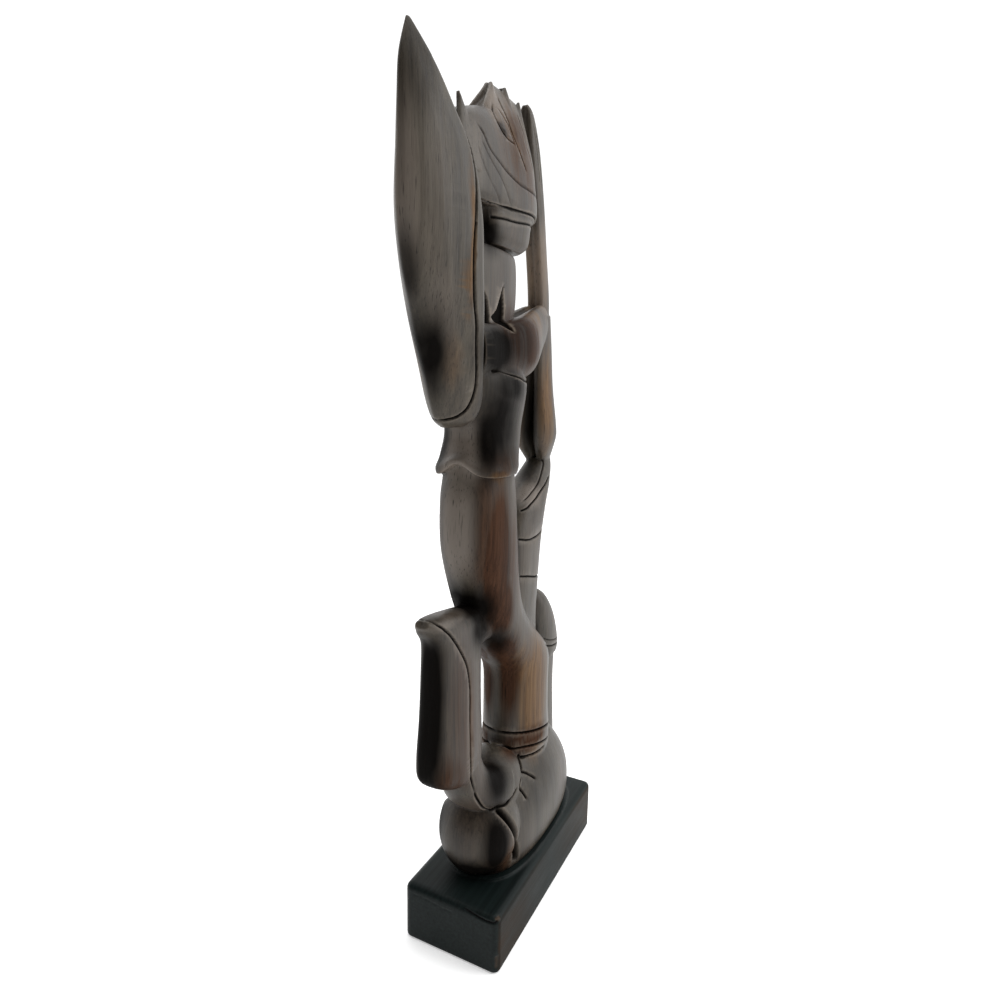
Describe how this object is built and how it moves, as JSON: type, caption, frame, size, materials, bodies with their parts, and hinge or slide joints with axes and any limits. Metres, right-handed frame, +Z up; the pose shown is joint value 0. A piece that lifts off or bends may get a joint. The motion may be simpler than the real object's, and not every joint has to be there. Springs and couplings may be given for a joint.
{
  "type": "praying figure sculpture",
  "caption": "Tall slim carved wooden figure that kneels and prays, on a rectangular plinth, for a shelf or desk.",
  "frame": {"origin": "centre of the plinth's underside, on the surface that it stands on", "axes": "+Z up along the figure's height, the figure faces -Y with its back leaf towards +Y, +X is its left"},
  "size_m": [0.0644, 0.2048, 0.4999],
  "materials": {
    "stained_wood": "dark stain with a worn wax sheen",
    "blackened_wood": "near-black stain, satin, chipped at a corner"
  },
  "bodies": {
    "root": {"figure": "stained_wood", "plinth": "blackened_wood"}
  },
  "joints": []
}
